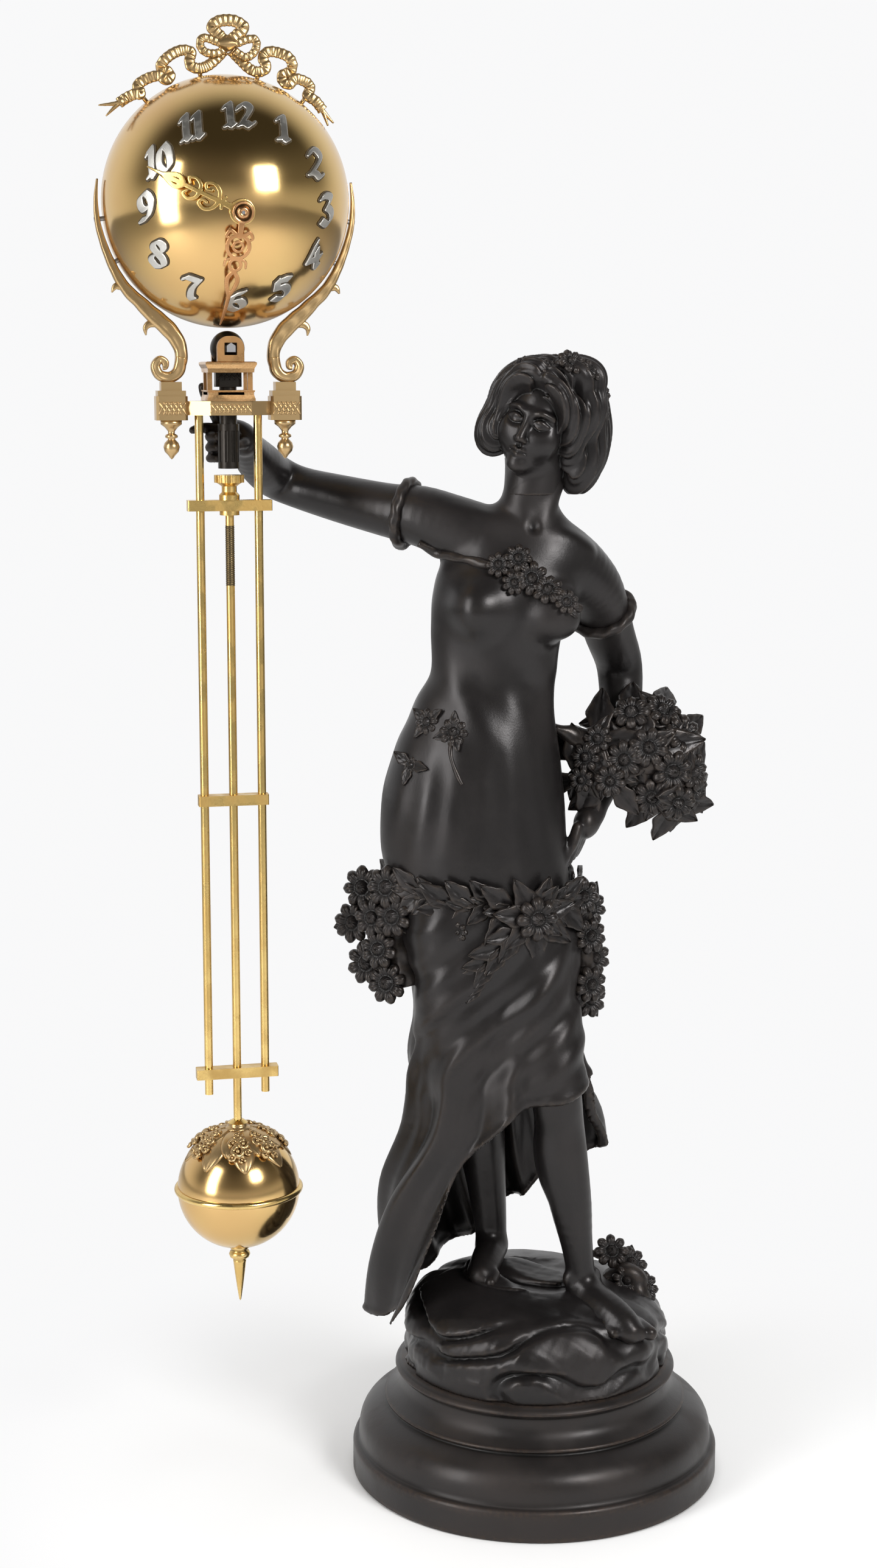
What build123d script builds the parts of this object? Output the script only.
from build123d import *
from math import asin, atan2, cos, degrees, pi, radians, sin, sqrt
import os

# Mystery clock: a cast figure on a round base holds a post, and a ball clock with a long
# pendulum swings on a knife edge at the top of that post. Millimetres, +Z up, dial towards -Y.
# The clock and its pendulum are drawn about the knife edge, the movement about the centre of
# the ball, and the figure about the axis of the base. Each is then moved to its place.

# Driving sizes of the stand
BASE_R = 92.0
BASE_FLANGE_H = 16.0
BASE_SHOULDER_R = 76.0
BASE_SHOULDER_H = 37.0
BASE_TOP_R = 69.0
BASE_H = 58.0
BASE_WALL = 5.0
MOUND_R = 66.0
MOUND_H = 42.0
MOUND_LOBES = 5
BOLT_R = 4.0
BOLT_L = 26.0
BOLT_HEAD_R = 9.0
BOLT_HEAD_H = 6.0
CASTING_WALL = 4.0
FIGURE_TURN = 12.0

# Driving sizes of the suspension
KNIFE_Z = 562.0
REACH = 149.4
SWING_DEGREES = 5.0
KNIFE_W = 4.0
KNIFE_H = 4.2
KNIFE_RIDGE = 1.4
KNOB_R = 8.0
KNOB_DROP = 2.5
POST_HEAD_W = 12.0
POST_HEAD_D = 10.0
POST_HEAD_TOP = -9.0
POST_HEAD_H = 11.0
POST_NECK_R = 4.0
POST_FOOT_R = 5.0
POST_FOOT_TOP = -37.0
POST_FOOT_H = 20.5
POST_FLUTES = 10
YOKE_W = 21.0
YOKE_D = 25.0
YOKE_WALL = 2.3
YOKE_PLATE_H = 5.0
YOKE_UPPER_Z = -13.5
YOKE_LOWER_Z = -26.5
ARCH_W = 12.4
ARCH_T = 3.0
ARCH_CROWN = 3.0
WINDOW_W = 5.8
WINDOW_H = 5.6

# Driving sizes of the cradle
CRADLE_T = 6.0
RING_H = 6.4
RING_WALL = 3.0
RING_D = 23.0
RING_FRONT_W = 19.0
BLOCK_X = 26.5
BLOCK_W = 14.5
BLOCK_H = 11.0
BLOCK_D = 12.0
FINIAL_L = 18.0
FINIAL_R = 3.8
VOLUTE_R = 6.0
LEAF_T = 3.0
LEAF_HALF = 32.0
LEAF_LEAN = 20.0
CRADLE_SCREW_DEGREES = (8.0, 28.0)

# Driving sizes of the ball clock
BALL_R = 56.5
BALL_UP = 63.3
DIAL_TILT = 7.5
BALL_WALL = 0.9
SEAM_W = 10.0
SEAM_T = 1.8
SEAM_LIP = 3.5
WIND_HOLE_R = 5.0
NUMERAL_H = 14.0
NUMERAL_STROKE = 2.2
NUMERAL_RELIEF = 1.2
NUMERAL_ANGLE = 45.0
HAND_T = 1.0
HOUR_HAND_LIFT = 2.2
MINUTE_HAND_LIFT = 4.2
HOUR_HAND_L = 43.0
MINUTE_HAND_L = 52.0
HOUR_HAND_DEGREES = 294.0
MINUTE_HAND_DEGREES = 187.0
HAND_BOSS_R = 6.4
HOUR_PIPE_R = 3.2
CANNON_R = 2.1

# Driving sizes of the bow above the ball
BOW_SPAN = 112.0
BOW_H = 26.0
BOW_RIBBON = 5.0
BOW_T = 3.0
BOW_LIFT = 3.0
BOW_WAVE = 3.6
BOW_PIN_R = 1.1

# Driving sizes of the movement
PLATE_T = 1.5
PLATE_GAP = 20.0
PLATE_R = 44.0
PILLAR_R = 2.5
ARBOR_R = 1.2
PIVOT_R = 0.9
WIND_ARBOR_R = 2.5
RUNNING_FIT = 0.05
WHEEL_T = 1.2
GREAT_TEETH = 60
CENTRE_PINS = 10
GREAT_MODULE = 0.714
CENTRE_TEETH = 64
THIRD_PINS = 8
CENTRE_MODULE = 0.6
THIRD_TEETH = 60
ESCAPE_PINS = 8
THIRD_MODULE = 0.5
ESCAPE_TEETH = 30
ESCAPE_R = 11.0
ESCAPE_UP = 22.0
CANNON_TEETH = 14
MINUTE_TEETH = 42
MOTION_MODULE = 0.5
MINUTE_PINION_TEETH = 12
HOUR_TEETH = 48
SPRING_TURNS = 5
SPRING_PITCH = 2.3
SPRING_T = 0.6
SPRING_W = 5.5
VERGE_UP = 36.5
PENDULET_L = 40.0
PENDULET_BOB_R = 9.0

# Driving sizes of the pendulum
ROD_R = 2.0
ROD_SPACING = 27.4
ROD_FOOT_Z = -358.0
BAR_L = 39.6
BAR_H = 5.0
BAR_D = 7.0
UPPER_BAR_Z = -77.1
MIDDLE_BAR_Z = -216.4
LOWER_BAR_Z = -350.0
NUT_DISC_R = 7.0
NUT_DISC_H = 3.5
NUT_H = 11.6
ROD_SLIDE = 0.1
ROD_RECESS = 3.5
COLLAR_R = 4.6
COLLAR_H = 2.0
BOB_Z = -405.7
BOB_R = 29.7
BOB_WALL = 0.9
BOB_RING_R = 1.6
BOB_CAP_H = 13.0
BOB_WEIGHT_R = 20.0
BOB_WEIGHT_H = 22.0
BOB_TIP_L = 28.5

# Clearances
EASE = 0.3
BALL_CLEAR = 1.0
SCREW_R = 1.1

# Places that follow from the sizes above
SEAM_R = sqrt((BALL_R - BALL_WALL) ** 2 - (SEAM_W / 2) ** 2)
BACK_PLATE_Y = -SEAM_LIP / 2
FRONT_PLATE_Y = BACK_PLATE_Y - 2 * PLATE_T - PLATE_GAP
GREAT_Y = FRONT_PLATE_Y + PLATE_T + 3.0
SPRING_Y = GREAT_Y + WHEEL_T + 0.5
THIRD_Y = SPRING_Y + SPRING_W + 0.5
CENTRE_Y = THIRD_Y + 4.0
ESCAPE_Y = CENTRE_Y + 3.1
PENDULET_Y = BACK_PLATE_Y + 1.5
MOTION_Y = FRONT_PLATE_Y - WHEEL_T - 0.6
HOUR_Y = MOTION_Y - WHEEL_T - 0.4
GREAT_DROP = GREAT_MODULE * (GREAT_TEETH + CENTRE_PINS) / 2
CENTRE_TO_THIRD = CENTRE_MODULE * (CENTRE_TEETH + THIRD_PINS) / 2
THIRD_TO_ESCAPE = THIRD_MODULE * (THIRD_TEETH + ESCAPE_PINS) / 2
THIRD_UP = (CENTRE_TO_THIRD ** 2 - THIRD_TO_ESCAPE ** 2 + ESCAPE_UP ** 2) / (2 * ESCAPE_UP)
THIRD_X = -sqrt(CENTRE_TO_THIRD ** 2 - THIRD_UP ** 2)
MOTION_X = MOTION_MODULE * (CANNON_TEETH + MINUTE_TEETH) / 2
HOUR_MODULE = 2 * MOTION_X / (MINUTE_PINION_TEETH + HOUR_TEETH)
RING_TOP_Z = YOKE_LOWER_Z
RING_FOOT_Z = RING_TOP_Z - RING_H
BLOCK_TOP_Z = RING_TOP_Z - RING_H / 2 + BLOCK_H / 2
NUT_TOP_Z = UPPER_BAR_Z + BAR_H + NUT_H


def at_y(sketch, y, thickness):
    """Extrude a dial-plane drawing (x across, y up) so that its front face lies at y."""
    return Pos(0, y, 0) * extrude(Plane.XZ * sketch, -thickness)


def rod_y(radius, front, back, x=0.0, z=0.0):
    """A round rod along Y between two depths."""
    return at_y(Pos(x, z) * Circle(radius), front, back - front)


def turned(profile):
    """Revolve a closed list of (radius, height) corners about Z."""
    return revolve(Plane.XZ * make_face(Polyline(*profile, close=True)), Axis.Z)


def eased(stations, per_span=3):
    """Fill in stations between those given, on a smooth curve through each row of values."""
    last = len(stations) - 1
    filled = []
    for i in range(last):
        rows = (stations[max(i - 1, 0)], stations[i], stations[i + 1], stations[min(i + 2, last)])
        for k in range(per_span):
            t = k / per_span
            filled.append(tuple(
                b + t * (c - a + t * (2 * a - 5 * b + 4 * c - d + t * (3 * b - a - 3 * c + d))) / 2
                for a, b, c, d in zip(*rows)))
    return filled + [tuple(stations[-1])]


def limb(stations):
    """Loft round sections (x, y, z, radius) that stay square to the line through them."""
    sections = []
    stations = eased(stations)
    last = len(stations) - 1
    for i, (x, y, z, r) in enumerate(stations):
        before, after = stations[max(i - 1, 0)], stations[min(i + 1, last)]
        along = Vector(*after[:3]) - Vector(*before[:3])
        across = Vector(1, 0, 0) if abs(along.normalized().X) < 0.8 else Vector(0, 1, 0)
        plane = Plane((x, y, z), x_dir=across.cross(along), z_dir=along)
        sections.append(plane * Circle(r))
    return loft(sections, ruled=True)


def wavy_face(z, cx, cy, rx, ry, lobes, swell, phase):
    """A closed smooth section, an oval whose edge rises and falls in even lobes."""
    count = 4 * lobes
    points = []
    for i in range(count):
        a = 2 * pi * i / count
        k = 1 + swell * cos(lobes * a + phase)
        points.append((cx + rx * k * cos(a), cy + ry * k * sin(a)))
    return Pos(0, 0, z) * make_face(Spline(*points, periodic=True))


def toothed_face(teeth, module, share=0.38, addendum=0.8, dedendum=1.2, tip=0.14, turn=0.0):
    """A clock wheel's outline: thin teeth with straight roots and pointed tips."""
    pitch_r = teeth * module / 2
    half = share * pi * module / 2 / pitch_r
    tip_half = tip * pi * module / 2 / (pitch_r + addendum * module)
    tooth = (
        (pitch_r - dedendum * module, -half),
        (pitch_r + 0.15 * module, -0.92 * half),
        (pitch_r + addendum * module, -tip_half),
        (pitch_r + addendum * module, tip_half),
        (pitch_r + 0.15 * module, 0.92 * half),
        (pitch_r - dedendum * module, half),
    )
    points = []
    for i in range(teeth):
        for r, a in tooth:
            angle = turn + 2 * pi * i / teeth + a
            points.append((r * cos(angle), r * sin(angle)))
    return make_face(Polyline(*points, close=True))


def clock_wheel(teeth, module, bore, arms, turn=0.0):
    """A wheel's face with its bore and the openings between its arms."""
    face = toothed_face(teeth, module, turn=turn)
    rim = teeth * module / 2 - 3.2 * module
    hub = bore + 2.4
    face -= Circle(bore)
    window = Circle(rim) - Circle(hub)
    for i in range(arms):
        window -= Rot(0, 0, 180 * i / (arms / 2)) * Pos(rim / 2, 0) * Rectangle(rim, 2.4)
    return face - window


def lantern(pins, module, bore_r, front, back, turn=0.0):
    """A lantern pinion: two round shrouds joined by a ring of pins, on a solid arbor."""
    pitch_r = pins * module / 2
    shroud_t = 0.8
    body = rod_y(pitch_r + 0.9 * module, front, front + shroud_t)
    body += rod_y(pitch_r + 0.9 * module, back - shroud_t, back)
    body += rod_y(bore_r, front, back)
    for i in range(pins):
        a = turn + 2 * pi * i / pins
        body += rod_y(0.4 * module, front, back, pitch_r * cos(a), pitch_r * sin(a))
    return body


def ball_zone(inner, outer):
    """A spherical shell about the ball's centre."""
    return Sphere(outer) - Sphere(inner)


# Stand

def base_plinth():
    """The turned, hollow round base with its ovolo, scotia and top bead."""
    lip = 1.6
    with BuildSketch(Plane.XZ) as section:
        with BuildLine():
            Polyline((BASE_R - BASE_WALL, 0), (BASE_R, 0), (BASE_R, BASE_FLANGE_H - lip))
            Line((BASE_R, BASE_FLANGE_H - lip), (BASE_R - lip, BASE_FLANGE_H))
            RadiusArc((BASE_R - lip, BASE_FLANGE_H), (BASE_SHOULDER_R, BASE_SHOULDER_H),
                      -0.9 * (BASE_R - BASE_SHOULDER_R + BASE_SHOULDER_H - BASE_FLANGE_H))
            Polyline((BASE_SHOULDER_R, BASE_SHOULDER_H),
                     (BASE_SHOULDER_R - lip, BASE_SHOULDER_H),
                     (BASE_SHOULDER_R - lip, BASE_SHOULDER_H + lip))
            RadiusArc((BASE_SHOULDER_R - lip, BASE_SHOULDER_H + lip),
                      (BASE_TOP_R - lip, BASE_H - 3 * lip), 2.2 * (BASE_H - BASE_SHOULDER_H))
            RadiusArc((BASE_TOP_R - lip, BASE_H - 3 * lip), (BASE_TOP_R - lip, BASE_H - lip), -lip)
            Polyline((BASE_TOP_R - lip, BASE_H - lip), (BASE_TOP_R - lip, BASE_H), (BOLT_R, BASE_H),
                     (BOLT_R, BASE_H - BASE_WALL), (BASE_TOP_R - 2 * BASE_WALL, BASE_H - BASE_WALL),
                     (BASE_SHOULDER_R - 2 * BASE_WALL, BASE_SHOULDER_H - BASE_WALL),
                     (BASE_R - BASE_WALL, BASE_FLANGE_H - BASE_WALL), (BASE_R - BASE_WALL, 0))
        make_face()
    return revolve(section.sketch, Axis.Z)


def mound_solid(shrink, foot_z):
    """The rocky ground under the figure, or with shrink its hollow."""
    r = MOUND_R - shrink
    top = BASE_H + MOUND_H - shrink
    rise = top - foot_z
    steps = ((0.0, 1.0, 0.012, 0.0, 0.0), (0.35, 0.985, 0.035, 0.0, 0.5), (0.62, 0.93, 0.05, -1.0, 1.1),
             (0.84, 0.78, 0.06, -4.0, 1.9), (0.97, 0.5, 0.05, -8.0, 2.6), (1.0, 0.3, 0.0, -9.0, 3.0))
    faces = [wavy_face(foot_z + t * rise, cx, 0, k * r, k * r, MOUND_LOBES, wave, turn)
             for t, k, wave, cx, turn in eased(steps, 2)]
    return loft(faces, ruled=True)


def rock_mound():
    """The hollow rock casting that stands on the base."""
    rock = mound_solid(0, BASE_H)
    rock -= mound_solid(2 * CASTING_WALL, BASE_H) & Pos(0, 0, BASE_H + MOUND_H / 2) * Cylinder(
        MOUND_R, MOUND_H - 4 * CASTING_WALL)
    boss = Pos(0, 0, BASE_H + MOUND_H / 2) * Cylinder(3 * BOLT_R, MOUND_H - 2 * CASTING_WALL)
    rock += boss & mound_solid(CASTING_WALL, BASE_H)
    return rock - base_bolt()


def base_bolt():
    """The bolt that draws the base and the rock together, with its head under the base's top."""
    seat = BASE_H - BASE_WALL
    shank = Pos(0, 0, seat) * extrude(Circle(BOLT_R), BASE_WALL + BOLT_L)
    return shank + Pos(0, 0, seat - BOLT_HEAD_H) * extrude(RegularPolygon(BOLT_HEAD_R, 6), BOLT_HEAD_H)


# Suspension, drawn about the knife edge

def knife_bar():
    """The steel bar whose top ridge carries the clock."""
    w, h = KNIFE_W / 2, KNIFE_H
    face = make_face(Polyline((0, 0), (w, -KNIFE_RIDGE), (w, -h), (-w, -h), (-w, -KNIFE_RIDGE), close=True))
    length = YOKE_D + 3.0
    return at_y(face, -length / 2, length)


def suspension_post():
    """The dark cast post: knob for the knife bar, latticed head, neck and fluted foot."""
    post = Pos(0, 0, -KNOB_DROP) * Sphere(KNOB_R)
    post += Pos(0, 0, (POST_HEAD_TOP - KNOB_DROP) / 2) * Cylinder(POST_NECK_R, -POST_HEAD_TOP - KNOB_DROP + 2)
    head = Pos(0, 0, POST_HEAD_TOP - POST_HEAD_H / 2) * Box(POST_HEAD_W, POST_HEAD_D, POST_HEAD_H)
    post += chamfer(head.edges().filter_by(Axis.Z), 1.5)
    neck_h = POST_HEAD_TOP - POST_HEAD_H - POST_FOOT_TOP
    post += Pos(0, 0, POST_FOOT_TOP + neck_h / 2) * Cylinder(POST_NECK_R, neck_h)
    foot = Pos(0, 0, POST_FOOT_TOP - POST_FOOT_H / 2) * Cylinder(POST_FOOT_R, POST_FOOT_H)
    for i in range(POST_FLUTES):
        a = 2 * pi * i / POST_FLUTES
        groove = Cylinder(0.8, POST_FOOT_H - 6)
        foot -= Pos(POST_FOOT_R * cos(a), POST_FOOT_R * sin(a), POST_FOOT_TOP - POST_FOOT_H / 2) * groove
    return post + foot - knife_bar()


def yoke_plate(z):
    """One eight-sided plate of the yoke, open in the middle for the post."""
    plate = chamfer(Rectangle(YOKE_W, YOKE_D).vertices(), 4.5)
    hole = Rectangle(YOKE_W - 2 * YOKE_WALL, YOKE_D - 2 * ARCH_T)
    return Pos(0, 0, z) * extrude(plate - hole, YOKE_PLATE_H)


def suspension_yoke():
    """Two plates, four corner straps and the two arches that hang on the knife bar."""
    yoke = yoke_plate(YOKE_UPPER_Z) + yoke_plate(YOKE_LOWER_Z)
    strap_h = YOKE_UPPER_Z - YOKE_LOWER_Z
    for sx in (-1, 1):
        for sy in (-1, 1):
            x, y = sx * (YOKE_W / 2 - YOKE_WALL / 2), sy * (YOKE_D / 2 - 5.5)
            yoke += Pos(x, y, YOKE_LOWER_Z + strap_h / 2) * Box(YOKE_WALL, YOKE_WALL, strap_h)
    foot = YOKE_UPPER_Z
    arch_h = ARCH_CROWN - foot
    outline = Pos(0, foot + arch_h / 2) * Rectangle(ARCH_W, arch_h)
    outline = fillet(outline.vertices().group_by(Axis.Y)[-1], ARCH_W / 2 - 1.0)
    window = Pos(0, EASE / 10 - WINDOW_H / 2) * Rectangle(WINDOW_W, WINDOW_H)
    for front in (-YOKE_D / 2, YOKE_D / 2 - ARCH_T):
        yoke += at_y(outline - window, front, ARCH_T)
    return yoke


# Cradle

def cradle_ring():
    """The pierced crossbar: an eight-sided ring round the post with a block at each end."""
    half = BLOCK_X - BLOCK_W / 2
    outer = Polyline((half, -RING_D / 5), (RING_FRONT_W / 2, -RING_D / 2), (-RING_FRONT_W / 2, -RING_D / 2),
                     (-half, -RING_D / 5), (-half, RING_D / 5), (-RING_FRONT_W / 2, RING_D / 2),
                     (RING_FRONT_W / 2, RING_D / 2), (half, RING_D / 5), close=True)
    face = make_face(outer)
    face -= offset(face, -RING_WALL)
    ring = Pos(0, 0, RING_FOOT_Z) * extrude(face, RING_H)
    for side in (-1, 1):
        block = Pos(side * BLOCK_X, 0, BLOCK_TOP_Z - BLOCK_H / 2) * Box(BLOCK_W, BLOCK_D, BLOCK_H)
        ring += chamfer(block.edges().filter_by(Axis.Z), 1.2)
    eye_h = Pos(0, 0, RING_FOOT_Z + RING_H / 2)
    for side in (-1, 1):
        x = side * ROD_SPACING / 2
        web = half - ROD_SPACING / 2
        ring += eye_h * Pos(x, 0, 0) * Cylinder(ROD_R + 2, RING_H)
        ring += eye_h * Pos(x + side * web / 2, 0, 0) * Box(web, 3, RING_H)
        ring -= side_rod(side)
        ring += block_cap(side)
    return ring


def block_cap(side):
    """The stepped moulding on a block that the scroll arm stands on."""
    x = side * BLOCK_X
    low = Pos(x, 0, BLOCK_TOP_Z + 1.25) * Box(BLOCK_W - 1.5, BLOCK_D - 1.5, 2.5)
    high = Pos(x, 0, BLOCK_TOP_Z + 4.5) * Box(BLOCK_W - 5, BLOCK_D - 4, 4.0)
    return low + high


def pendant_finial(side):
    """The turned bud under a block."""
    top = BLOCK_TOP_Z - BLOCK_H
    r, length = FINIAL_R, FINIAL_L
    profile = ((0, 0), (1.3 * r, 0), (1.3 * r, -0.1 * length), (0.8 * r, -0.18 * length),
               (0.45 * r, -0.3 * length), (0.75 * r, -0.38 * length), (0.75 * r, -0.43 * length),
               (0.45 * r, -0.48 * length), (r, -0.66 * length), (0.85 * r, -0.8 * length),
               (0.3 * r, -0.95 * length), (0, -length))
    return Pos(side * BLOCK_X, 0, top) * turned(profile)


def scroll_arm_right():
    """The cast scroll: a volute on the block, an S-shaped stem and a leaf beside the ball."""
    stem = ((BLOCK_X - 5.0, -9.5, 2.6), (BLOCK_X - 6.0, -3.5, 3.2), (BLOCK_X - 3.0, 3.5, 4.0),
            (BLOCK_X + 3.5, 9.5, 4.2), (BLOCK_X + 10.5, 15.0, 3.6), (BLOCK_X + 16.5, 20.8, 3.0),
            (BLOCK_X + 21.0, 27.0, 2.6), (BLOCK_X + 25.5, 35.2, 2.1))
    outer, inner = [], []
    for i, (x, z, w) in enumerate(stem):
        x0, z0, _ = stem[max(i - 1, 0)]
        x1, z1, _ = stem[min(i + 1, len(stem) - 1)]
        run = sqrt((x1 - x0) ** 2 + (z1 - z0) ** 2)
        nx, nz = (z1 - z0) / run, -(x1 - x0) / run
        outer.append((x + nx * w, z + nz * w))
        inner.append((x - nx * w, z - nz * w))
    edge = Spline(*outer) + Line(outer[-1], inner[-1]) + Spline(*inner[::-1]) + Line(inner[0], outer[0])
    # The leaf is a crescent between the ball's clearance circle and a smaller, shifted one
    clear = BALL_R + BALL_CLEAR
    arm = at_y(make_face(edge) - Pos(0, BALL_UP) * Circle(clear), -CRADLE_T / 2, CRADLE_T)
    shift = LEAF_T / (1 - cos(radians(LEAF_HALF)))
    lean = radians(-LEAF_LEAN)
    bulge = Pos(shift * cos(lean), BALL_UP + shift * sin(lean)) * Circle(clear + LEAF_T - shift)
    arm += at_y(bulge - Pos(0, BALL_UP) * Circle(clear), -CRADLE_T / 3, 2 * CRADLE_T / 3)
    curl = Pos(BLOCK_X + 1.5, BLOCK_TOP_Z + 6.0 + VOLUTE_R)
    arm += at_y(curl * Circle(VOLUTE_R), -CRADLE_T / 2, CRADLE_T)
    arm += at_y(curl * Circle(VOLUTE_R / 3), -CRADLE_T / 2 - 1, CRADLE_T + 2)
    for degrees in CRADLE_SCREW_DEGREES:
        arm -= cradle_screw(1, -degrees)
    return arm - block_cap(1)


def cradle_screw(side, degrees):
    """A short screw from the arm's leaf into the ball."""
    a = radians(degrees)
    reach = BALL_R + 4.0
    screw = Pos(reach / 2, 0, 0) * Rot(0, 90, 0) * Cylinder(SCREW_R, reach) - Sphere(BALL_R)
    turn = Rot(0, -degrees, 0) if side > 0 else Rot(0, 180 + degrees, 0)
    return Pos(0, 0, BALL_UP) * turn * screw


# Ball clock, drawn about the centre of the ball

def ball_half(front):
    """One hemisphere of the ball: the front has the hands' hole, the back the winding hole."""
    shell = ball_zone(BALL_R - BALL_WALL, BALL_R)
    half = Pos(0, (-1 if front else 1) * BALL_R, 0) * Box(2 * BALL_R, 2 * BALL_R, 2 * BALL_R)
    shell &= half
    if front:
        return shell - rod_y(HOUR_PIPE_R + EASE, -BALL_R - 1, 0)
    return shell - rod_y(WIND_HOLE_R, 0, BALL_R + 1, 0, -GREAT_DROP)


def seam_band():
    """The ring inside the seam that joins the halves and carries the movement on its lip."""
    band = at_y(Circle(SEAM_R) - Circle(SEAM_R - SEAM_T), -SEAM_W / 2, SEAM_W)
    lip = Circle(SEAM_R - SEAM_T) - Circle(SEAM_R - SEAM_T - SEAM_LIP)
    return band + at_y(lip, BACK_PLATE_Y, SEAM_LIP)


# Strokes of the numerals on a unit height, each a line through points
DIGITS = {
    "0": (((0, 0.5), (0.27, 0.2), (0.27, -0.2), (0, -0.5), (-0.27, -0.2), (-0.27, 0.2), (0, 0.5)),),
    "1": (((-0.14, 0.34), (0.02, 0.5), (0.02, -0.5)),),
    "2": (((-0.28, 0.26), (-0.1, 0.48), (0.16, 0.46), (0.27, 0.24), (-0.26, -0.48), (0.3, -0.48)),),
    "3": (((-0.26, 0.46), (0.26, 0.46), (-0.02, 0.08), (0.27, -0.16), (0.04, -0.5), (-0.27, -0.38)),),
    "4": (((0.12, -0.5), (0.12, 0.5), (-0.3, -0.16)), ((-0.3, -0.16), (0.3, -0.16))),
    "5": (((0.26, 0.48), (-0.2, 0.48), (-0.24, 0.06), (0.08, 0.12), (0.27, -0.18), (0.04, -0.5), (-0.27, -0.4)),),
    "6": (((0.2, 0.46), (-0.14, 0.26), (-0.26, -0.16), (-0.04, -0.48), (0.25, -0.24), (0.06, 0.04)),
          ((0.06, 0.04), (-0.24, -0.1))),
    "7": (((-0.28, 0.46), (0.28, 0.46), (-0.04, -0.5)),),
    "8": (((0, 0.04), (-0.22, 0.27), (0, 0.48), (0.22, 0.27), (0, 0.04)),
          ((0, 0.04), (-0.26, -0.24), (0, -0.5), (0.26, -0.24), (0, 0.04))),
}
DIGITS["9"] = tuple(tuple((-x, -y) for x, y in stroke) for stroke in DIGITS["6"])


def numeral(hour):
    """One applied hour numeral: its strokes pushed through the shell just above the ball."""
    a, tilt = radians(30 * hour), radians(NUMERAL_ANGLE)
    out = Vector(sin(tilt) * sin(a), -cos(tilt), sin(tilt) * cos(a))
    up = Vector(0, 0, 1) - out * out.Z
    plane = Plane(out * BALL_R, x_dir=up.cross(out), z_dir=out)
    text = str(hour)
    step = 0.72 * NUMERAL_H
    strokes = Sketch()
    for i, digit in enumerate(text):
        x = (i - (len(text) - 1) / 2) * step
        for stroke in DIGITS[digit]:
            strokes += trace(Polyline(*((x + NUMERAL_H * u, NUMERAL_H * v) for u, v in stroke)), NUMERAL_STROKE)
    prism = extrude(plane * strokes, NUMERAL_H / 3, both=True)
    return prism & ball_zone(BALL_R, BALL_R + NUMERAL_RELIEF)


def on_sphere(face, lift):
    """Wrap a dial-plane drawing on the sphere that clears the ball by lift."""
    prism = at_y(face, -1.5 * BALL_R, 1.5 * BALL_R)
    return prism & ball_zone(BALL_R + lift, BALL_R + lift + HAND_T)


def hand_face(length, boss_r, bore, ring_r, width):
    """A pierced clock hand that points up: boss, ring, two side scrolls, leaf and tip."""
    first = boss_r + ring_r - 0.5
    face = Circle(boss_r)
    face += Pos(0, first) * (Circle(ring_r) - Circle(ring_r - width))
    second = first + ring_r + 0.55 * ring_r
    for side in (-1, 1):
        face += Pos(side * 0.62 * ring_r, second) * (Circle(0.75 * ring_r) - Circle(0.75 * ring_r - width))
    leaf = second + 0.9 * ring_r
    face += make_face(Polyline((0, second - ring_r), (width, second), (1.6 * width, leaf), (0, length),
                               (-1.6 * width, leaf), (-width, second), close=True))
    return face - Circle(bore)


def hour_hand():
    face = hand_face(HOUR_HAND_L, HAND_BOSS_R, HOUR_PIPE_R, 5.0, 1.5)
    return on_sphere(Rot(0, 0, -HOUR_HAND_DEGREES) * face, HOUR_HAND_LIFT)


def minute_hand():
    face = hand_face(MINUTE_HAND_L, HAND_BOSS_R - 1.5, CANNON_R, 5.4, 1.4)
    return on_sphere(Rot(0, 0, -MINUTE_HAND_DEGREES) * face, MINUTE_HAND_LIFT)


def hand_nut():
    """The small turned nut that holds the minute hand on its arbor."""
    front = -(BALL_R + MINUTE_HAND_LIFT + HAND_T)
    return rod_y(2.6, front - 1.8, front) - rod_y(CANNON_R, front - 1.4, front)


# Bow above the ball

def bow_ornament():
    """A ribbon that waves along the top of the ball, with a knot, a loop and short pins."""
    mid = BALL_R + BOW_LIFT + BOW_RIBBON / 2 + BOW_WAVE
    reach = asin(BOW_SPAN / 2 / (mid + BOW_WAVE))
    half_waves = 6
    edges = {-1: [], 1: []}
    for i in range(-2 * half_waves, 2 * half_waves + 1):
        a = reach * i / (2 * half_waves)
        for side, edge in edges.items():
            r = mid + BOW_WAVE * cos(pi * half_waves * a / reach) + side * BOW_RIBBON / 2
            edge.append((r * sin(a), r * cos(a)))
    low, high = edges[-1], edges[1]
    ribbon = make_face(Spline(*low) + Line(low[-1], high[-1]) + Spline(*high[::-1]) + Line(high[0], low[0]))
    loop_r = (BOW_H - BOW_RIBBON) / 3
    top = mid + BOW_WAVE
    ribbon += Pos(0, top + loop_r) * (Circle(loop_r + BOW_RIBBON / 2) - Circle(loop_r - BOW_RIBBON / 3))
    bow = at_y(ribbon, -BOW_T / 2, BOW_T) + Pos(0, 0, top) * Sphere(BOW_RIBBON)
    for turn in (-3, -1, 1, 3):
        a = degrees(reach) * turn / half_waves
        pin_l = BALL_R + BOW_LIFT + BOW_RIBBON / 2
        bow += Rot(0, a, 0) * Pos(0, 0, pin_l / 2) * Cylinder(BOW_PIN_R, pin_l)
    return bow - Sphere(BALL_R)


# Movement, drawn about the centre of the ball

PILLARS = ((22.0, 34.0), (-22.0, 34.0), (30.0, -22.0), (-30.0, -22.0))


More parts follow.
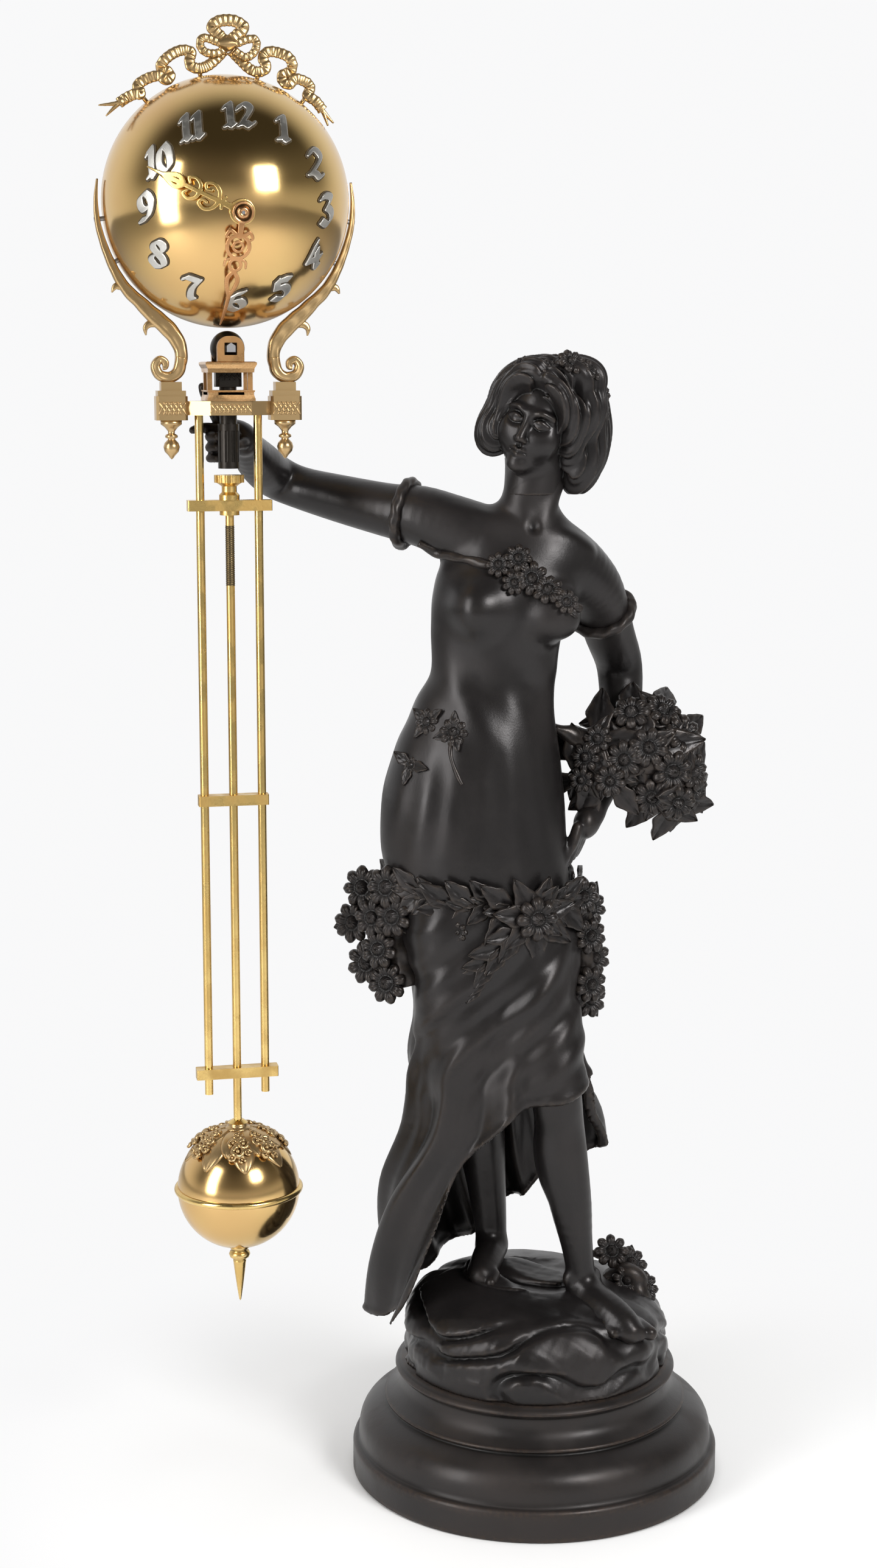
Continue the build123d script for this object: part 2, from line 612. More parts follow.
def arbor(front, back, radius=ARBOR_R):
    """A plain arbor between the plates with a thinner pivot in each plate."""
    inner_front, inner_back = FRONT_PLATE_Y + PLATE_T + EASE, BACK_PLATE_Y - PLATE_T - EASE
    body = rod_y(radius, inner_front, inner_back)
    return body + rod_y(PIVOT_R, front, back)


def plate_holes():
    """The pivot holes that both plates share."""
    holes = Circle(WIND_ARBOR_R + RUNNING_FIT).moved(Location((0, -GREAT_DROP)))
    for x, z in ((0, 0), (THIRD_X, THIRD_UP), (0, ESCAPE_UP), (0, VERGE_UP)):
        holes += Pos(x, z) * Circle(PIVOT_R + RUNNING_FIT)
    return holes


def back_plate():
    """The large round plate that sits on the seam band's lip, with two side openings."""
    face = Circle(SEAM_R - SEAM_T - EASE) - plate_holes()
    for side in (-1, 1):
        face -= Pos(side * 41, 8) * Ellipse(6, 15)
    for i in range(4):
        a = radians(45 + 90 * i)
        r = SEAM_R - SEAM_T - SEAM_LIP / 2
        face -= Pos(r * cos(a), r * sin(a)) * Circle(SCREW_R)
    return at_y(face, BACK_PLATE_Y - PLATE_T, PLATE_T)


def front_plate():
    """The smaller plate nearer the dial, which also carries the motion work's stud."""
    face = Circle(PLATE_R) - plate_holes() - Circle(CANNON_R + RUNNING_FIT)
    return at_y(face, FRONT_PLATE_Y, PLATE_T) + rod_y(PIVOT_R, HOUR_Y - 1.0, FRONT_PLATE_Y, MOTION_X, 0)


def plate_pillars():
    """Four pillars that hold the plates apart."""
    front, back = FRONT_PLATE_Y + PLATE_T, BACK_PLATE_Y - PLATE_T
    return [rod_y(PILLAR_R, front, back, x, z) for x, z in PILLARS]


def plate_screws():
    """Four screws that hold the movement on the seam band's lip."""
    r = SEAM_R - SEAM_T - SEAM_LIP / 2
    places = [(r * cos(radians(45 + 90 * i)), r * sin(radians(45 + 90 * i))) for i in range(4)]
    front = BACK_PLATE_Y - PLATE_T
    return [rod_y(SCREW_R, front, BACK_PLATE_Y, x, z) + rod_y(1.6, front - 1, front, x, z) for x, z in places]


def mainspring():
    """A flat spring wound in a spiral of half circles round the winding arbor."""
    start = WIND_ARBOR_R + 1.2
    outer, inner = [], []
    for i in range(2 * SPRING_TURNS):
        r = start + SPRING_PITCH * (i + 0.5) / 2
        cx = SPRING_PITCH / 4 * (1 if i % 2 else -1)
        side = 1 if i % 2 == 0 else -1
        for path, rr in ((outer, r + SPRING_T / 2), (inner, r - SPRING_T / 2)):
            path.append(((cx + side * rr, 0), (cx, side * rr), (cx - side * rr, 0)))
    edges = [ThreePointArc(*arc) for arc in outer + inner]
    edges.append(Line(outer[0][0], inner[0][0]))
    edges.append(Line(outer[-1][2], inner[-1][2]))
    return at_y(Pos(0, -GREAT_DROP) * make_face(edges), SPRING_Y, SPRING_W)


def great_wheel():
    """The first wheel, free on the winding arbor and driven by the spring."""
    face = clock_wheel(GREAT_TEETH, GREAT_MODULE, WIND_ARBOR_R + RUNNING_FIT, 6)
    return at_y(Pos(0, -GREAT_DROP) * face, GREAT_Y, WHEEL_T)


def winding_arbor():
    """The arbor with its ratchet and the square that the key turns from the back."""
    end = sqrt((BALL_R - BALL_WALL) ** 2 - GREAT_DROP ** 2) - 3.0
    square_l = 10.0
    body = rod_y(WIND_ARBOR_R, FRONT_PLATE_Y, end - square_l)
    body += at_y(Rectangle(1.4 * WIND_ARBOR_R, 1.4 * WIND_ARBOR_R), end - square_l, square_l)
    teeth, tip_r, root_r = 20, 7.0, 5.9
    points = []
    for i in range(teeth):
        a = 2 * pi * i / teeth
        points.append((tip_r * cos(a), tip_r * sin(a)))
        points.append((root_r * cos(a + 0.04), root_r * sin(a + 0.04)))
    ratchet = make_face(Polyline(*points, close=True))
    body += at_y(ratchet, GREAT_Y - EASE - WHEEL_T, WHEEL_T)
    return Pos(0, 0, -GREAT_DROP) * body


def centre_arbor():
    """The arbor of the minute hand: a lantern pinion between the plates, a cannon in front."""
    front = -(BALL_R + MINUTE_HAND_LIFT + HAND_T) - 1.4
    body = rod_y(ARBOR_R, FRONT_PLATE_Y + PLATE_T, BACK_PLATE_Y - PLATE_T - EASE)
    body += rod_y(PIVOT_R, FRONT_PLATE_Y, BACK_PLATE_Y) + rod_y(CANNON_R, front, FRONT_PLATE_Y + PLATE_T)
    body += lantern(CENTRE_PINS, GREAT_MODULE, ARBOR_R, GREAT_Y - 1.3, GREAT_Y + WHEEL_T + 1.3,
                    pi / CENTRE_PINS - pi / 2)
    return body + at_y(toothed_face(CANNON_TEETH, MOTION_MODULE), MOTION_Y, WHEEL_T)


def centre_wheel():
    """The wheel on the centre arbor."""
    turn = atan2(THIRD_UP, THIRD_X)
    return at_y(clock_wheel(CENTRE_TEETH, CENTRE_MODULE, ARBOR_R, 6, turn), CENTRE_Y, WHEEL_T)


def third_wheel():
    """The third arbor with its wheel and lantern pinion."""
    line = atan2(THIRD_UP, THIRD_X)
    turn = atan2(ESCAPE_UP - THIRD_UP, -THIRD_X)
    body = arbor(FRONT_PLATE_Y, BACK_PLATE_Y)
    body += lantern(THIRD_PINS, CENTRE_MODULE, ARBOR_R, CENTRE_Y - 1.3, CENTRE_Y + WHEEL_T + 1.3,
                    line + pi + pi / THIRD_PINS)
    body += at_y(clock_wheel(THIRD_TEETH, THIRD_MODULE, ARBOR_R, 4, turn), THIRD_Y, WHEEL_T)
    return Pos(THIRD_X, 0, THIRD_UP) * body


def escape_wheel():
    """The escape arbor with its lantern pinion and its wheel of pointed teeth."""
    turn = atan2(ESCAPE_UP - THIRD_UP, -THIRD_X)
    body = arbor(FRONT_PLATE_Y, BACK_PLATE_Y)
    body += lantern(ESCAPE_PINS, THIRD_MODULE, ARBOR_R, THIRD_Y - 1.3, THIRD_Y + WHEEL_T + 1.3,
                    turn + pi + pi / ESCAPE_PINS)
    step = 2 * pi / ESCAPE_TEETH
    points = []
    for i in range(ESCAPE_TEETH):
        for r, share in ((0.82, 0.0), (1.0, 0.1), (0.86, 0.3)):
            points.append((ESCAPE_R * r * cos(step * (i + share)), ESCAPE_R * r * sin(step * (i + share))))
    face = make_face(Polyline(*points, close=True)) - Circle(0.68 * ESCAPE_R) + Circle(3.0)
    for i in range(4):
        face += Rot(0, 0, 90 * i) * Pos(0.38 * ESCAPE_R, 0) * Rectangle(0.76 * ESCAPE_R, 1.4)
    body += at_y(face, ESCAPE_Y, WHEEL_T)
    return Pos(0, 0, ESCAPE_UP) * body


def verge():
    """The verge arbor with its bent pallet strip and the rod of the small inner pendulum."""
    body = arbor(FRONT_PLATE_Y, PENDULET_Y + WHEEL_T)
    strip = Pos(0, ESCAPE_UP - VERGE_UP) * (Circle(ESCAPE_R + 2.8) - Circle(ESCAPE_R + 1.2))
    reach = 2 * ESCAPE_R
    strip &= Pos(0, ESCAPE_UP - VERGE_UP + 0.45 * ESCAPE_R + reach / 2) * Rectangle(2 * reach, reach)
    body += at_y(strip + Circle(2.2), ESCAPE_Y, WHEEL_T)
    body += at_y(Pos(0, -PENDULET_L / 2) * Rectangle(3.0, PENDULET_L + 4.0), PENDULET_Y, WHEEL_T)
    return Pos(0, 0, VERGE_UP) * body


def pendulet_bob():
    """The small bob that keeps the beat inside the ball."""
    disc = rod_y(PENDULET_BOB_R, PENDULET_Y + WHEEL_T, PENDULET_Y + WHEEL_T + 6.0)
    return Pos(0, 0, VERGE_UP - PENDULET_L) * disc


def minute_wheel():
    """The wheel and pinion of the motion work, on the front plate's stud."""
    bore = PIVOT_R + RUNNING_FIT
    body = at_y(clock_wheel(MINUTE_TEETH, MOTION_MODULE, bore, 4, pi / MINUTE_TEETH), MOTION_Y, WHEEL_T)
    pinion = toothed_face(MINUTE_PINION_TEETH, HOUR_MODULE, turn=pi / MINUTE_PINION_TEETH) - Circle(bore)
    body += at_y(pinion, HOUR_Y - EASE, MOTION_Y - HOUR_Y + EASE)
    return Pos(MOTION_X, 0, 0) * body


def hour_wheel():
    """The hour wheel and the long pipe that carries the hour hand out through the ball."""
    bore = CANNON_R + 2 * RUNNING_FIT
    front = -(BALL_R + HOUR_HAND_LIFT + HAND_T)
    body = at_y(clock_wheel(HOUR_TEETH, HOUR_MODULE, HOUR_PIPE_R, 6), HOUR_Y, WHEEL_T)
    return body + at_y(Circle(HOUR_PIPE_R) - Circle(bore), front, HOUR_Y + WHEEL_T - front)


# Pendulum, drawn about the knife edge

def side_rod(side):
    """One of the two thin rods that hang from the cradle."""
    length = RING_TOP_Z - ROD_FOOT_Z
    return Pos(side * ROD_SPACING / 2, 0, ROD_FOOT_Z + length / 2) * Cylinder(ROD_R, length)


def cross_bar(foot_z, length):
    """A flat bar that ties the side rods and guides the middle rod."""
    bar = Pos(0, 0, foot_z + BAR_H / 2) * Box(length, BAR_D, BAR_H)
    bar = fillet(bar.edges().filter_by(Axis.Z), 0.8)
    for side in (-1, 1):
        bar -= side_rod(side)
    return bar - Pos(0, 0, foot_z + BAR_H / 2) * Cylinder(ROD_R + ROD_SLIDE, BAR_H)


def upper_bar():
    """The top bar with a collar below it round the threaded rod."""
    collar = Pos(0, 0, UPPER_BAR_Z - COLLAR_H / 2) * (
        Cylinder(COLLAR_R, COLLAR_H) - Cylinder(ROD_R + ROD_SLIDE, COLLAR_H))
    return cross_bar(UPPER_BAR_Z, BAR_L) + collar


def rating_nut():
    """The knurled nut that hangs the middle rod on the top bar."""
    r, h = NUT_DISC_R, NUT_H
    waist = 0.5 * r
    bore = ROD_R + RUNNING_FIT
    nut = turned(((bore, 0), (0.68 * r, 0), (0.68 * r, 0.2 * h), (waist, 0.32 * h), (waist, 0.55 * h),
                  (0.85 * r, h - NUT_DISC_H), (r, h - NUT_DISC_H), (r, h), (bore, h)))
    flutes = 20
    for i in range(flutes):
        a = 2 * pi * i / flutes
        nut -= Pos(r * cos(a), r * sin(a), h - NUT_DISC_H / 2) * Cylinder(0.45, NUT_DISC_H)
    return Pos(0, 0, UPPER_BAR_Z + BAR_H) * nut


def pendulum_rod():
    """The middle rod from inside the rating nut to the bottom of the bob, with its collar."""
    top, foot = NUT_TOP_Z - ROD_RECESS, BOB_Z - BOB_R
    rod = Pos(0, 0, (top + foot) / 2) * Cylinder(ROD_R, top - foot)
    r = COLLAR_R
    collar = turned(((0, 0), (1.25 * r, 0), (1.25 * r, 1.0), (0.7 * r, 2.2), (1.05 * r, 3.6), (0.6 * r, 5.0),
                     (0, 5.0)))
    return rod + (Pos(0, 0, BOB_Z) * (Pos(0, 0, BOB_R - 0.4) * collar - Sphere(BOB_R)))


def bob_half(upper):
    """One half of the hollow bob, bored for the rod."""
    shell = Sphere(BOB_R) - Sphere(BOB_R - BOB_WALL) - Cylinder(ROD_R, 3 * BOB_R)
    shell &= Pos(0, 0, (1 if upper else -1) * BOB_R) * Box(2 * BOB_R, 2 * BOB_R, 2 * BOB_R)
    return Pos(0, 0, BOB_Z) * shell


def bob_ring():
    """The bead that covers the bob's seam."""
    return Pos(0, 0, BOB_Z) * (Torus(BOB_R, BOB_RING_R) - Sphere(BOB_R))


def bob_cap():
    """The cast leaf cap on the bob, with a scalloped edge and a hole for the collar."""
    edge_r = sqrt(BOB_R ** 2 - (BOB_R - BOB_CAP_H) ** 2)
    outline = Circle(0.86 * edge_r)
    for i in range(8):
        outline += Rot(0, 0, 45 * i) * Pos(0.8 * edge_r, 0) * Circle(0.3 * edge_r)
    outline -= Circle(1.25 * COLLAR_R + EASE)
    cap = extrude(outline, 2 * BOB_R) & (Sphere(BOB_R + 1.5) - Sphere(BOB_R))
    return Pos(0, 0, BOB_Z) * cap


def bob_weight():
    """The weight clamped on the rod inside the bob."""
    return Pos(0, 0, BOB_Z) * (Cylinder(BOB_WEIGHT_R, BOB_WEIGHT_H) - Cylinder(ROD_R, BOB_WEIGHT_H))


def bob_finial():
    """The turned bead and spike under the bob."""
    r, length = 4.2, BOB_TIP_L
    profile = ((0, 0.5), (0.9 * r, 0.5), (0.9 * r, -0.06 * length), (0.6 * r, -0.12 * length),
               (r, -0.2 * length), (0.8 * r, -0.3 * length), (0.45 * r, -0.36 * length),
               (0.62 * r, -0.48 * length), (0, -length))
    return Pos(0, 0, BOB_Z) * (Pos(0, 0, -BOB_R) * turned(profile) - Sphere(BOB_R))


# Figure, drawn about the axis of the base with X to the right of the viewer and Y away

TORSO = ((318, -31.0, 2, 46.5, 33.0), (345, -32.0, 2, 44.5, 32.0), (370, -29.7, 3, 39.5, 28.0),
         (395, -25.3, 3, 32.5, 23.5), (408, -21.6, 2, 30.5, 22.0), (427, -20.0, 1, 32.0, 23.5),
         (443, -17.5, 1, 34.0, 24.5), (457, -13.5, 3, 34.0, 22.5), (469, -8.5, 4, 28.0, 18.5),
         (479, -5.0, 4, 18.0, 14.0), (490, -2.5, 3, 12.0, 12.0), (504, -0.5, 1, 11.5, 12.0))
SKIRT = ((318, -31.0, 2, 46.5, 33.0, 0.0), (290, -26.0, 1, 45.0, 33.0, 0.012), (262, -21.0, 0, 42.5, 33.0, 0.03),
         (238, -19.5, 0, 40.0, 33.0, 0.05), (212, -21.0, 2, 42.5, 36.0, 0.07), (180, -14.0, 5, 49.0, 42.0, 0.085),
         (145, -20.5, 7, 54.0, 46.0, 0.09), (112, -22.5, 7.5, 56.5, 47.0, 0.095), (78, -23.0, 8, 57.5, 48.0, 0.1))
FRONT_HEM = ((70, 207), (24, 203), (-6, 195), (-36, 169), (-56, 126), (-66, 94), (-78, 82), (-96, 79))
BACK_HEM = ((70, 158), (38, 160), (18, 148), (-12, 122), (-42, 98), (-72, 84), (-96, 80))
HEM_SPLIT_Y = 12.0
SKIRT_FOLDS = 9
FOLD_PHASE = 0.6
FOLD_TWIST = 0.008
FOLD_LEVEL = 200
RIGHT_SHOULDER = ((-26, 5, 469, 17.5), (-42, 7, 475, 16.0), (-57, 10, 480, 14.2), (-73, 16, 482.6, 13.2))
RIGHT_ARM = ((-73, 16, 482.6, 13.2), (-96.5, 28, 487.5, 12.4), (-117, 38, 492.5, 11.4), (-130, 37, 498, 11.4),
             (-136, 22, 505, 11.0), (-139.5, 5, 512, 9.4), (-141.5, -9, 518, 7.6))
LEFT_SHOULDER = ((2, 4, 463, 16.5), (12, 8, 458, 15.4), (20, 14, 450.5, 14.0), (26.5, 22, 441.4, 12.4))
LEFT_ARM = ((26.5, 22, 441.4, 12.4), (32, 40, 420, 12.2), (37, 51, 402, 10.8), (38, 45, 380, 10.4),
            (35, 29, 356, 8.6), (31, 18, 342, 7.6), (20, 6, 327, 5.0), (15, 2, 321, 3.0))
KNEE = ((-8, -10, 272, 19), (1, -16, 240, 18.5), (8, -22, 208, 17.5), (9, -22, 196, 17))
LEFT_LEG = ((3, -17, 236, 12.5), (8, -24, 206, 12.8), (11.5, -22, 176, 12.6), (16.7, -19, 143, 10.6),
            (21.3, -17, 114, 8.2), (24, -19, 100, 8.6))
LEFT_FOOT = ((20, -10, 93, 6.5), (26, -21, 92, 8.0), (36, -33, 88, 8.2), (43, -41, 84, 6.5), (47, -45, 82, 3.5))
RIGHT_LEG = ((-33, 6, 224, 14.5), (-28, 12, 174, 13.0), (-23, 17, 128, 9.0), (-21.5, 17, 110, 8.6))
RIGHT_FOOT = ((-20.5, 24, 103, 6.5), (-22, 12, 103, 8.0), (-25, 0, 100, 8.0), (-27, -9, 97, 5.0))
HEAD = (0.0, -3.0, 526.0)
HEAD_RADII = (17.5, 20.0, 26.0)
HEAD_TILT = 20.0
HAIR = ((2, 4, 533, 29, 25, 24), (-18, 2, 516, 10, 12, 14), (26, 3, 518, 10, 14, 20), (7, -10, 552, 15, 11, 8),
        (-9, -15, 545, 11, 8, 8), (18, -12, 538, 9, 9, 13))
BAND_T = 2.2
BAND_W = 8.0
GARLAND_T = 4.0
GARLAND_W = 9.0
FLOWER_R = 8.5
FLOWER_T = 5.0
PETALS = 8


def ovals(stations, shrink=0.0, sink=0.0):
    """Loft level ovals (z, centre x, centre y, half width, half depth)."""
    faces = []
    for z, cx, cy, rx, ry in eased(stations):
        faces.append(Pos(cx, cy, z - sink) * Ellipse(rx - shrink, ry - shrink))
    return loft(faces, ruled=True)


def ellipsoid(centre, radii):
    """A smooth egg shape."""
    return Pos(*centre) * scale(Sphere(1), by=radii)


def torso_solid():
    """Hips, waist, bust, neck and both shoulders as one casting, before it is hollowed."""
    body = ovals(TORSO)
    for stations in (RIGHT_SHOULDER, LEFT_SHOULDER):
        body += limb(stations)
    for x, z in ((-29, 441), (6, 436)):
        body += ellipsoid((x, -16, z), (15, 14, 15))
    return body


def skirt_solid(shrink=0.0):
    """The fall of the skirt with its slanting main folds, or with shrink its hollow."""
    faces = []
    rows = eased(SKIRT)
    for i, (z, cx, cy, rx, ry, swell) in enumerate(rows):
        past = {0: 1.0, len(rows) - 1: -1.0}.get(i, 0.0) if shrink else 0.0
        turn = FOLD_PHASE - SKIRT_FOLDS * FOLD_TWIST * (z - FOLD_LEVEL)
        faces.append(wavy_face(z + past, cx, cy, rx - shrink, ry - shrink, SKIRT_FOLDS, swell, turn))
    return loft(faces, ruled=True)


def below_hem(hem, front, back):
    """Everything under a hem line, between two depths."""
    low = BASE_H
    edge = Spline(*hem)
    edge += Polyline(hem[-1], (hem[-1][0], low), (hem[0][0], low), hem[0])
    return at_y(make_face(edge), front, back - front)


def figure_skirt():
    """The hollow skirt, gathered high over the forward knee and trailing to the other side."""
    far = 3 * BASE_R
    hollow = skirt_solid(CASTING_WALL)
    open_below = below_hem(FRONT_HEM, -far, HEM_SPLIT_Y) + below_hem(BACK_HEM, HEM_SPLIT_Y, far)
    return skirt_solid() - open_below - hollow + (limb(KNEE) - hollow - open_below)


def figure_head():
    """The head and its full hair in rolls and side locks, leaning towards the far shoulder."""
    head = ellipsoid(HEAD, HEAD_RADII)
    x, y, z = HEAD
    rx, ry, rz = HEAD_RADII
    mass, *locks = (ellipsoid(row[:3], row[3:]) for row in HAIR)
    hair = mass - Pos(x - 3, y - 1.1 * ry, z - 0.45 * rz) * Box(1.9 * rx, 1.3 * ry, 1.9 * rz)
    for lock in locks:
        hair += lock
    lean = Pos(x, y, z) * Rot(0, HEAD_TILT, 0) * Pos(-x, -y, -z)
    return lean * (head + hair)


def hand_on_post():
    """The hand behind the post, drawn about the knife edge: palm, curled fingers and thumb."""
    foot = POST_FOOT_TOP
    hand = limb(((8, 18, foot - 7, 7.6), (4, 17.5, foot - 5, 8.2), (0, 17, foot - 4, 7.0), (-3, 16, foot - 4, 4.0)))
    for drop in (6, 11, 16):
        z = foot - drop
        hand += limb(((4, 16, z, 2.7), (-3, 13.5, z, 2.7), (-7.5, 8.4, z, 2.5), (-3.3, 3.3, z, 2.0)))
    hand += limb(((-1, 17, foot - 2, 3.2), (-6, 16.5, foot + 8, 3.0), (-10, 16, foot + 16, 2.4)))
    hand += limb(((-2, 15, foot - 3, 3.0), (-9, 12, foot - 2, 2.8), (-15, 9.5, foot - 3, 2.2)))
    return hand + limb(((9, 16, foot - 8, 3.4), (8, 10, foot - 9, 3.0), (3.2, 3.2, foot - 10, 2.2)))


def flower():
    """A round flower: a ring of petals with a domed middle, facing up."""
    petal_r = 0.36 * FLOWER_R
    face = Circle(0.6 * FLOWER_R)
    for i in range(PETALS):
        face += Rot(0, 0, 360 * i / PETALS) * Pos(FLOWER_R - petal_r, 0) * Circle(petal_r)
    bloom = Pos(0, 0, -FLOWER_T) * extrude(face, FLOWER_T)
    return bloom + Sphere(0.34 * FLOWER_R)


def spray(blooms, stems):
    """Flowers (x, y, z, facing direction) tied together by their stems."""
    solid = None
    for line in stems:
        stem = limb(line)
        solid = stem if solid is None else solid + stem
    bloom = flower()
    for x, y, z, facing in blooms:
        solid += Plane((x, y, z), z_dir=facing).location * bloom
    return solid


def sleeve_bands():
    """The rolled sleeve edges, one on each arm just below its seam."""
    bands = []
    for stations in (RIGHT_ARM, LEFT_ARM):
        x, y, z, r = stations[0]
        along = Vector(*stations[1][:3]) - Vector(x, y, z)
        plane = Plane((x, y, z), z_dir=along)
        bands.append(plane.location * Pos(0, 0, BAND_W) * Cylinder(r + BAND_T, BAND_W) - limb(stations))
    return bands


def on_skirt(z, degrees, lift):
    """The point that stands lift outside the skirt at a height and direction, and its facing."""
    upper, lower = next(pair for pair in zip(SKIRT, SKIRT[1:]) if pair[1][0] <= z)
    t = (upper[0] - z) / (upper[0] - lower[0])
    cx, cy, rx, ry = (u + t * (v - u) for u, v in zip(upper[1:5], lower[1:5]))
    c, s = cos(radians(degrees)), sin(radians(degrees))
    return (cx + (rx + lift) * c, cy + (ry + lift) * s, z), (c / rx, s / ry, 0)


def skirt_flower(z, degrees, lift):
    """One flower that faces out from the skirt."""
    point, facing = on_skirt(z, degrees, lift)
    return Plane(point, z_dir=facing).location * flower()


def hip_garland():
    """The leafy band that lies round the hips over the seam of the skirt, with its front flower."""
    z, degrees = GARLAND_FLOWER
    slab = Pos(*on_skirt(GARLAND_Z, 0, 0)[0]) * Rot(0, GARLAND_TILT, 0) * Box(4 * BASE_R, 2 * BASE_R, GARLAND_W)
    band = (skirt_solid(-GARLAND_T) & slab) - skirt_solid()
    return band + skirt_flower(z, degrees, GARLAND_T + FLOWER_T - 1)


def hip_flowers(stem, blooms, garland):
    """Flowers (height, direction, lift) that hang from the garland on a thick leafy stem."""
    points = [on_skirt(z, degrees, STEM_LIFT)[0] + (STEM_R,) for z, degrees in stem]
    solid = limb(points) - skirt_solid() - garland
    for bloom in blooms:
        solid += skirt_flower(*bloom)
    return solid - garland


GARLAND_Z = 296
GARLAND_TILT = 4
GARLAND_FLOWER = (289, 300)
STEM_LIFT = 3.5
STEM_R = 7.5
LEFT_HIP = (
    ((284, 178), (272, 180), (252, 182)),
    ((286, 187, 13.2), (283.5, 167, 13.6), (271, 195, 12.7), (268.5, 173, 13.1), (253.3, 190, 12.6),
     (249, 171, 12.9)),
)
RIGHT_HIP = (
    ((284, 4), (262, 8), (240, 14)),
    ((282, 352, 13), (272, 12, 13), (256, 2, 13), (248, 20, 13), (238, 8, 13)),
)
BOUQUET = (
    ((46, 13, 383, (0, -0.6, 0.8)), (62, 18, 385, (0.3, -0.4, 0.8)), (71, 15, 373, (0.6, -0.6, 0.5)),
     (56, 3, 366, (0.1, -1, 0.2)), (66, 4, 354, (0.3, -1, 0)), (76, 12, 354, (0.8, -0.6, 0.2)),
     (78, 16, 343, (0.9, -0.3, -0.3)), (69, 7, 340, (0.4, -0.8, -0.4)), (57, 5, 338, (0, -0.9, -0.4)),
     (41, 3, 364, (-0.2, -1, 0.1)), (28, 6, 372, (-0.2, -0.8, 0.5))),
    (((14, 14, 374, 5), (34, 17, 365, 10), (56, 15, 360, 12), (74, 15, 350, 9)),),
)
MOUND_FLOWERS = (
    ((44, 2, 113, (0.3, -0.6, 0.7)), (54, 4, 106, (0.7, -0.4, 0.6)), (59, -4, 96, (0.8, -0.5, 0.3)),
     (50, -8, 102, (0.4, -0.8, 0.5))),
    (((36, 6, 90, 6), (46, 3, 102, 6), (54, 0, 97, 6), (54, 0, 84, 6)),),
)
BODICE = (
    ((-8, -25, 459, (0, -1, 0.25)), (2, -22, 450, (0.3, -1, 0)), (-19, -24, 457, (-0.2, -1, 0.3))),
    (((-52, -3, 468, 3), (-40, -12, 466, 3.4), (-24, -19, 461, 3.6), (-8, -21, 457, 4), (6, -18, 450, 3.4)),),
)


def stack(parts):
    """Several separate solids as one node."""
    return Compound([solid for part in parts for solid in part.solids()])


arm_right = scroll_arm_right()
cradle_reach = arm_right.bounding_box().max.X
BASE_X = (REACH + cradle_reach - BASE_R) / 2
STAND = Pos(BASE_X, 0, 0)
FIGURE = STAND * Rot(0, 0, -FIGURE_TURN)
CLOCK = Pos(BASE_X - REACH, 0, KNIFE_Z)
CROWN = CLOCK * Pos(0, 0, BALL_UP)
BALL = CROWN * Rot(DIAL_TILT, 0, 0)

rock = FIGURE * rock_mound()
solid_rock = FIGURE * mound_solid(0, BASE_H)
torso_form = FIGURE * torso_solid()
torso = torso_form - FIGURE * ovals(TORSO[:8], CASTING_WALL)
skirt = FIGURE * figure_skirt() - solid_rock
post = CLOCK * suspension_post()
arm_on_post = FIGURE * limb(RIGHT_ARM) - torso_form + CLOCK * hand_on_post() - post
arm_at_side = FIGURE * limb(LEFT_ARM) - torso_form - skirt
leg_forward = FIGURE * (limb(LEFT_LEG) + limb(LEFT_FOOT)) - skirt - solid_rock
leg_behind = FIGURE * (limb(RIGHT_LEG) + limb(RIGHT_FOOT)) - solid_rock
head = FIGURE * figure_head() - torso_form
hip_band = hip_garland()

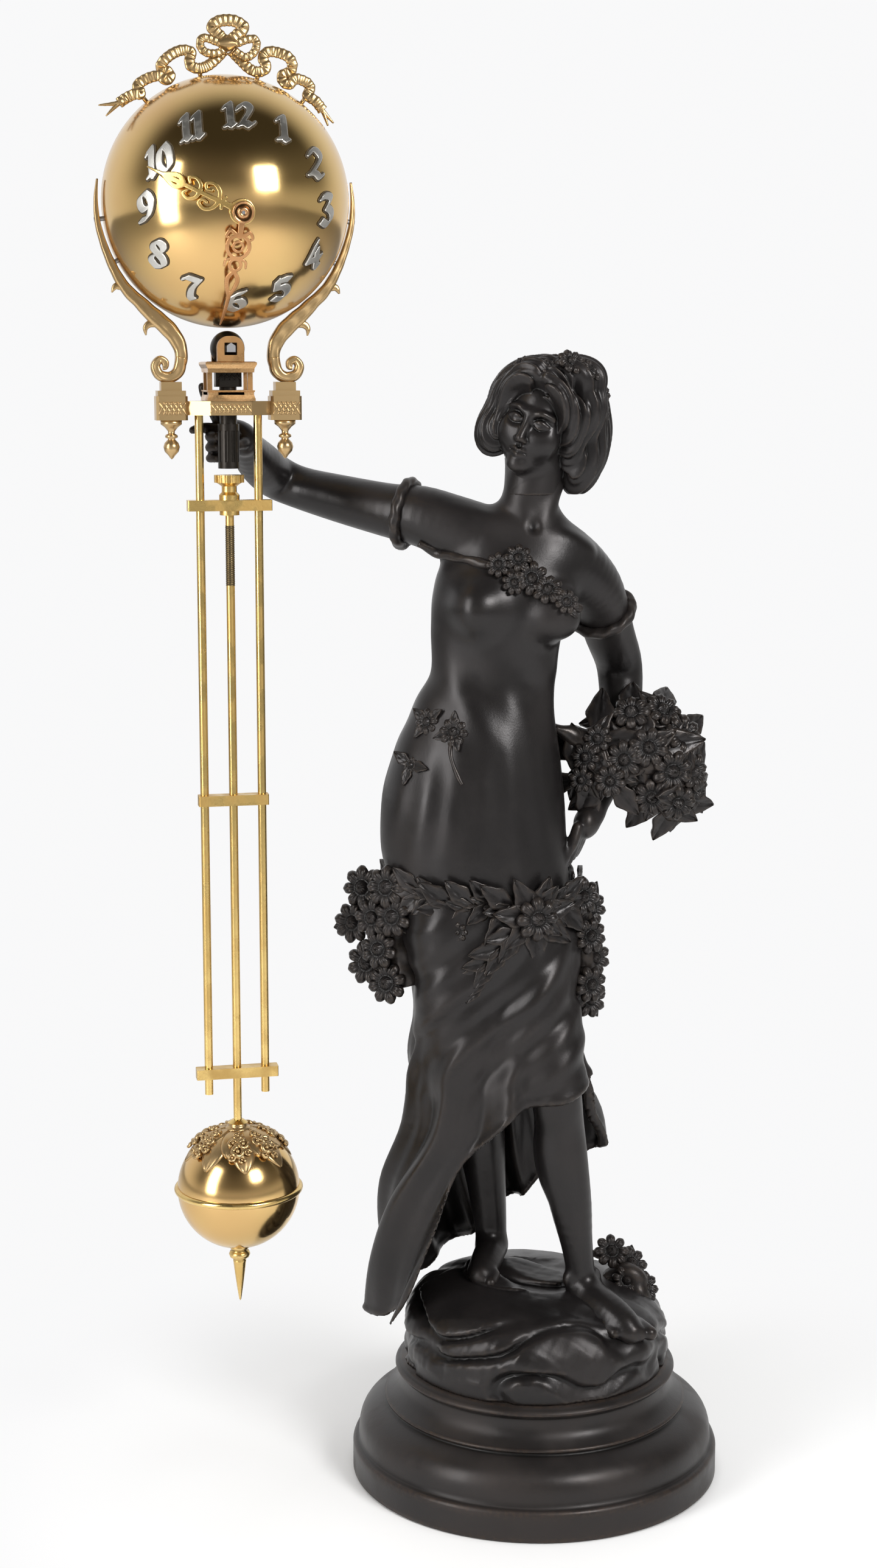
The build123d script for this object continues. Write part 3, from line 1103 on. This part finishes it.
nodes = {
    "base_plinth": STAND * base_plinth(),
    "base_bolt": STAND * base_bolt(),
    "rock_mound": rock,
    "figure_torso": torso,
    "figure_head": head,
    "figure_skirt": skirt,
    "forward_leg": leg_forward,
    "rear_leg": leg_behind,
    "raised_arm": arm_on_post,
    "side_arm": arm_at_side,
    "sleeve_bands": FIGURE * stack(sleeve_bands()),
    "hip_garland": FIGURE * hip_band,
    "left_hip_flowers": FIGURE * hip_flowers(*LEFT_HIP, hip_band),
    "right_hip_flowers": FIGURE * hip_flowers(*RIGHT_HIP, hip_band),
    "bouquet": FIGURE * spray(*BOUQUET) - torso_form - arm_at_side,
    "mound_flowers": FIGURE * spray(*MOUND_FLOWERS) - solid_rock - leg_forward,
    "bodice_garland": FIGURE * spray(*BODICE) - torso_form,
    "suspension_post": post,
    "knife_bar": CLOCK * knife_bar(),
    "suspension_yoke": CLOCK * suspension_yoke(),
    "cradle_ring": CLOCK * cradle_ring(),
    "pendant_finials": CLOCK * stack(pendant_finial(side) for side in (-1, 1)),
    "scroll_arm_right": CLOCK * arm_right,
    "scroll_arm_left": CLOCK * mirror(arm_right, Plane.YZ),
    "cradle_screws": CLOCK * stack(cradle_screw(side, -d) for side in (-1, 1) for d in CRADLE_SCREW_DEGREES),
    "ball_front_shell": BALL * ball_half(True),
    "ball_back_shell": BALL * ball_half(False),
    "seam_band": BALL * seam_band(),
    "dial_numerals": BALL * stack(numeral(hour) for hour in range(1, 13)),
    "bow_ornament": CROWN * bow_ornament(),
    "back_plate": BALL * back_plate(),
    "front_plate": BALL * front_plate(),
    "plate_pillars": BALL * stack(plate_pillars()),
    "plate_screws": BALL * stack(plate_screws()),
    "mainspring": BALL * mainspring(),
    "great_wheel": BALL * great_wheel(),
    "winding_arbor": BALL * winding_arbor(),
    "centre_arbor": BALL * centre_arbor(),
    "centre_wheel": BALL * centre_wheel(),
    "third_wheel": BALL * third_wheel(),
    "escape_wheel": BALL * escape_wheel(),
    "verge": BALL * verge(),
    "pendulet_bob": BALL * pendulet_bob(),
    "minute_wheel": BALL * minute_wheel(),
    "hour_wheel": BALL * hour_wheel(),
    "hour_hand": BALL * hour_hand(),
    "minute_hand": BALL * minute_hand(),
    "hand_nut": BALL * hand_nut(),
    "side_rods": CLOCK * stack(side_rod(side) for side in (-1, 1)),
    "upper_bar": CLOCK * upper_bar(),
    "middle_bar": CLOCK * cross_bar(MIDDLE_BAR_Z, ROD_SPACING + 2 * ROD_R + 2),
    "lower_bar": CLOCK * cross_bar(LOWER_BAR_Z, BAR_L),
    "rating_nut": CLOCK * rating_nut(),
    "pendulum_rod": CLOCK * pendulum_rod(),
    "bob_upper_shell": CLOCK * bob_half(True),
    "bob_lower_shell": CLOCK * bob_half(False),
    "bob_ring": CLOCK * bob_ring(),
    "bob_cap": CLOCK * bob_cap(),
    "bob_weight": CLOCK * bob_weight(),
    "bob_finial": CLOCK * bob_finial(),
}

os.makedirs("parts", exist_ok=True)
for name, shape in nodes.items():
    export_step(shape, f"parts/{name}.step")
